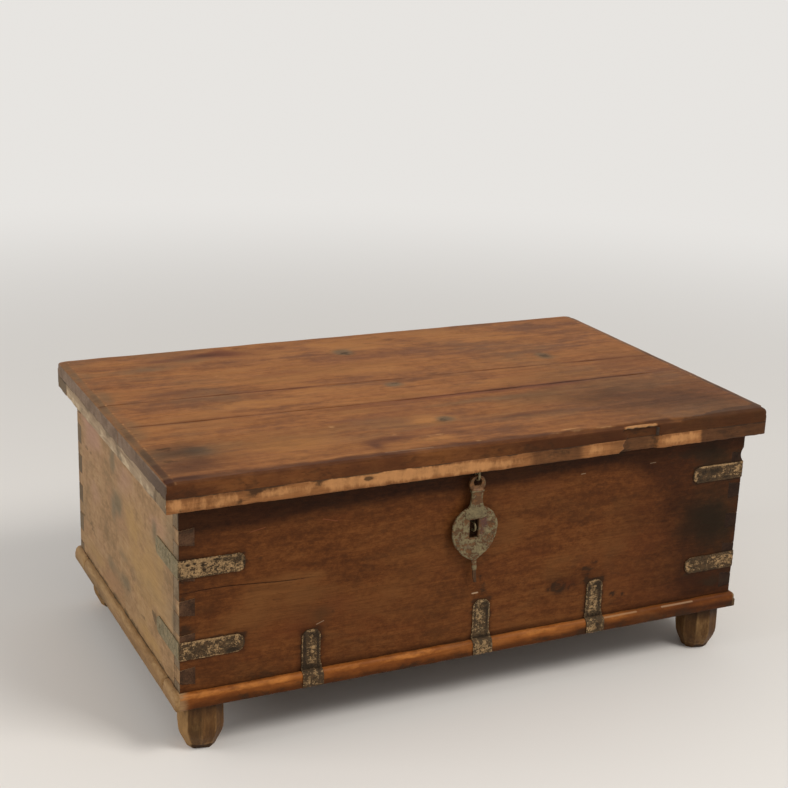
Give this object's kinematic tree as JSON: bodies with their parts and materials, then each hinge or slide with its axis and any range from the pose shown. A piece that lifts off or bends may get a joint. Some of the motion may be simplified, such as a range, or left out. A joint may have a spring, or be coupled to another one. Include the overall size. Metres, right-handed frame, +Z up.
{
  "type": "storage chest",
  "caption": "Low wooden storage chest with a hinged overhanging lid, dovetailed case, hanging hasp, corner irons and carved faceted feet.",
  "frame": {"origin": "on the floor, under the middle of the closed lid", "axes": "+X along the chest's length to the right as seen from the front, +Y to the back, +Z up"},
  "size_m": [1, 0.612, 0.428],
  "materials": {
    "teak_lid_top": "old waxed teak, worn and warm brown",
    "teak_edge_strip": "orange-brown teak moulding with worn pale edges",
    "teak_front": "dark reddish teak, waxed, grimy at the edges",
    "teak_end": "bleached olive-tan teak with grey streaks",
    "teak_inside": "bare sawn teak",
    "carved_foot": "carved hardwood, dark brown-olive",
    "limewashed_iron": "flat iron with rust under mottled beige limewash",
    "hasp_iron": "forged iron, olive-grey patina with rust",
    "dark_iron": "forged dark iron"
  },
  "bodies": {
    "case": {"front_panel": "teak_front", "back_panel": "teak_front", "left_panel": "teak_end", "right_panel": "teak_end", "base_front": "teak_edge_strip", "base_back": "teak_edge_strip", "base_left": "teak_edge_strip", "base_right": "teak_edge_strip", "base_bearer": "teak_inside", "bottom_board_1": "teak_inside", "bottom_board_2": "teak_inside", "bottom_board_3": "teak_inside", "bottom_board_4": "teak_inside", "foot_front_left": "carved_foot", "foot_front_right": "carved_foot", "foot_back_left": "carved_foot", "foot_back_right": "carved_foot", "corner_iron_upper_left": "limewashed_iron", "corner_iron_lower_left": "limewashed_iron", "corner_iron_upper_right": "limewashed_iron", "corner_iron_lower_right": "limewashed_iron", "base_strap_left": "limewashed_iron", "base_strap_middle": "limewashed_iron", "base_strap_right": "limewashed_iron", "lock_staple": "dark_iron", "hinge_case_leaf_left": "dark_iron", "hinge_case_leaf_right": "dark_iron", "hinge_pin_left": "dark_iron", "hinge_pin_right": "dark_iron", "iron_nails": "dark_iron", "base_nails": "dark_iron", "bottom_nails": "dark_iron", "hinge_case_nails": "dark_iron"},
    "lid": {"top_board_back": "teak_lid_top", "top_board_middle": "teak_lid_top", "top_board_front": "teak_lid_top", "lip_front": "teak_edge_strip", "lip_back": "teak_edge_strip", "lip_left": "teak_edge_strip", "lip_right": "teak_edge_strip", "batten_left": "teak_inside", "batten_right": "teak_inside", "hinge_lid_leaf_left": "dark_iron", "hinge_lid_leaf_right": "dark_iron", "hasp_staple": "dark_iron", "lid_nails": "dark_iron", "hinge_lid_nails": "dark_iron"},
    "hasp": {"hasp": "hasp_iron"}
  },
  "joints": [
    {"name": "lid_hinge", "type": "hinge", "parent": "case", "child": "lid", "pos_m": [0, 0.283, 0.376], "axis": [-1, 0, 0], "range_deg": [0, 108]},
    {"name": "hasp_swing", "type": "hinge", "parent": "lid", "child": "hasp", "pos_m": [-0.0205, -0.2956, 0.374], "axis": [-1, 0, 0], "range_deg": [-2.5, 115]}
  ]
}
